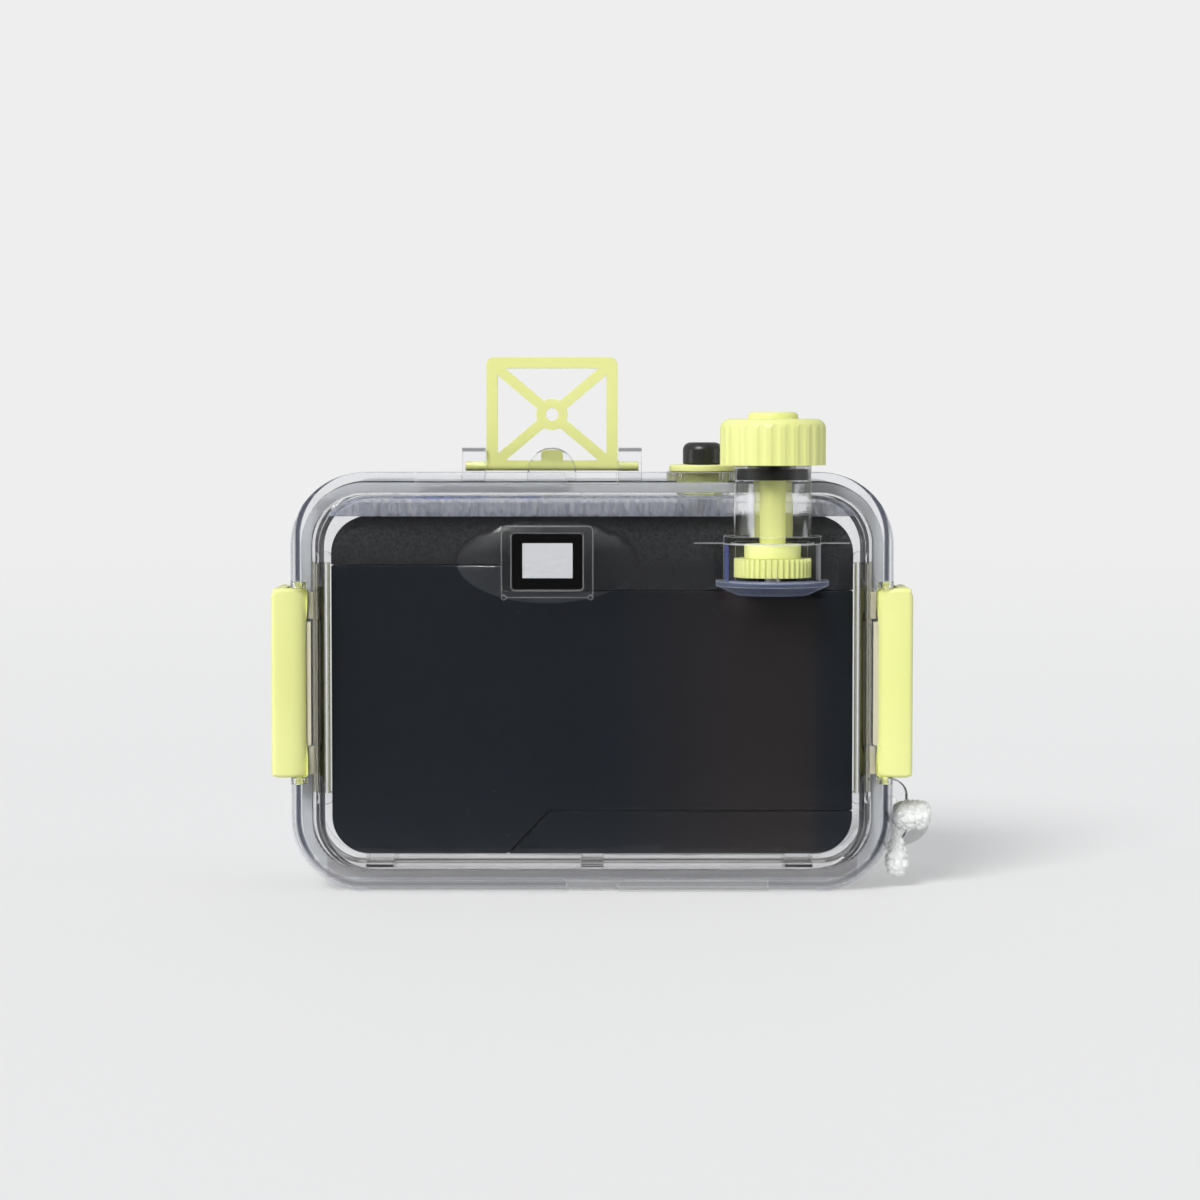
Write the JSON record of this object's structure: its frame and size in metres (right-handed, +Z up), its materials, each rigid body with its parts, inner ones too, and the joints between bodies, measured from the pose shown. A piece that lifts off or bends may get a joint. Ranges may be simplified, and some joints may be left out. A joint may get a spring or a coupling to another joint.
{
  "type": "underwater camera",
  "caption": "Film camera in a clear waterproof case with side latches, a film advance knob, a flip-up sight and a push-button release.",
  "frame": {"origin": "on the floor, under the middle of the plane where the two housing halves meet", "axes": "+X to the right as seen from the camera's back, +Y forwards through the lens, +Z up"},
  "size_m": [0.1372, 0.0952, 0.1091],
  "materials": {
    "clear_plastic": "clear polished polycarbonate",
    "yellow_plastic": "satin",
    "black_plastic": "fine matte",
    "black_rubber": "smooth",
    "seal_silicone": "translucent grey",
    "steel": "bright",
    "lens_acrylic": "clear polished",
    "white_cord": "glossy white cord"
  },
  "bodies": {
    "housing": {"front_shell": "clear_plastic", "shutter_gland": "yellow_plastic", "shutter_seal": "black_rubber", "camera_top_cover": "black_plastic", "finder_rear_glass": "lens_acrylic", "finder_front_glass": "lens_acrylic", "finder_mask": "black_plastic", "camera_back_door": "black_plastic", "camera_bottom_cover": "black_plastic", "camera_front_cover": "black_plastic", "camera_chassis": "black_plastic", "pressure_plate": "black_plastic", "pressure_spring": "steel", "lens_barrel": "black_plastic", "front_lens": "lens_acrylic", "rear_lens": "lens_acrylic", "blade_pin": "steel", "strap_knot": "white_cord", "strap_cord": "white_cord", "strap_hank": "white_cord", "strap_tie": "clear_plastic"},
    "rear_half": {"rear_cover": "clear_plastic", "main_seal": "seal_silicone", "knob_seal": "black_rubber"},
    "left_latch": {"latch_left": "yellow_plastic"},
    "right_latch": {"latch_right": "yellow_plastic"},
    "sight": {"sight_frame": "yellow_plastic"},
    "release": {"shutter_button": "black_rubber", "shutter_plunger": "steel", "shutter_pusher": "yellow_plastic", "shutter_spring": "steel"},
    "advance": {"advance_knob": "yellow_plastic", "advance_shaft": "yellow_plastic", "drive_wheel": "yellow_plastic", "wheel_screw": "steel"},
    "film_advance": {"film_wheel": "black_plastic", "takeup_spool": "black_plastic"},
    "sprocket": {"sprocket": "black_plastic"},
    "counter": {"counter_dial": "black_plastic"},
    "camera_release": {"camera_button": "black_plastic"},
    "blade": {"shutter_blade": "steel"},
    "rewind": {"rewind_knob": "black_plastic", "rewind_fork": "black_plastic"},
    "rewind_button": {"rewind_release": "black_plastic"}
  },
  "joints": [
    {"name": "left_latch_swing", "type": "hinge", "parent": "rear_half", "child": "left_latch", "pos_m": [-0.0596, -0.005, 0.0429], "axis": [0, 0, 1], "range_deg": [0, 110]},
    {"name": "right_latch_swing", "type": "hinge", "parent": "rear_half", "child": "right_latch", "pos_m": [0.0596, -0.005, 0.0429], "axis": [0, 0, 1], "range_deg": [-110, 0]},
    {"name": "rear_half_slide", "type": "slide", "parent": "housing", "child": "rear_half", "axis": [0, -1, 0], "range_m": [0, 0.01536]},
    {"name": "sight_fold", "type": "hinge", "parent": "housing", "child": "sight", "pos_m": [-0.0083, 0.008, 0.08675], "axis": [-1, 0, 0], "range_deg": [0, 90]},
    {"name": "release_press", "type": "slide", "parent": "housing", "child": "release", "axis": [0, 0, -1], "range_m": [0, 0.0015], "stiffness_N_per_m": 500, "deforming": ["shutter_spring"]},
    {"name": "camera_release_press", "type": "slide", "parent": "housing", "child": "camera_release", "axis": [0, 0, -1], "range_m": [0, 0.0015], "stiffness_N_per_m": 300},
    {"name": "blade_swing", "type": "hinge", "parent": "housing", "child": "blade", "pos_m": [0.0082, 0.02185, 0.04], "axis": [0, 1, 0], "range_deg": [0, 62], "stiffness_Nm_per_rad": 0.0005},
    {"name": "knob_turn", "type": "hinge", "parent": "rear_half", "child": "advance", "pos_m": [0.0364, -0.0085, 0.08], "axis": [0, 0, 1], "continuous": true},
    {"name": "film_wheel_turn", "type": "hinge", "parent": "housing", "child": "film_advance", "pos_m": [0.0406, 0.00701, 0.04], "axis": [0, 0, 1], "continuous": true},
    {"name": "sprocket_turn", "type": "hinge", "parent": "housing", "child": "sprocket", "pos_m": [0.0242, 0.005, 0.036], "axis": [0, 0, 1], "continuous": true},
    {"name": "counter_turn", "type": "hinge", "parent": "housing", "child": "counter", "pos_m": [0.04, 0.0135, 0.074], "axis": [0, 0, 1], "continuous": true},
    {"name": "rewind_turn", "type": "hinge", "parent": "housing", "child": "rewind", "pos_m": [-0.0365, 0.011, 0.009], "axis": [0, 0, 1], "continuous": true},
    {"name": "rewind_release_press", "type": "slide", "parent": "housing", "child": "rewind_button", "axis": [0, 0, 1], "range_m": [0, 0.001], "stiffness_N_per_m": 300}
  ],
  "couplings": [
    {"joint": "left_latch_swing", "follows": "rear_half_slide", "rad_per_m": 125},
    {"joint": "right_latch_swing", "follows": "rear_half_slide", "rad_per_m": -125},
    {"joint": "camera_release_press", "follows": "release_press", "ratio": 1},
    {"joint": "film_wheel_turn", "follows": "knob_turn", "ratio": -0.90909},
    {"joint": "counter_turn", "follows": "sprocket_turn", "ratio": 0.026316}
  ]
}
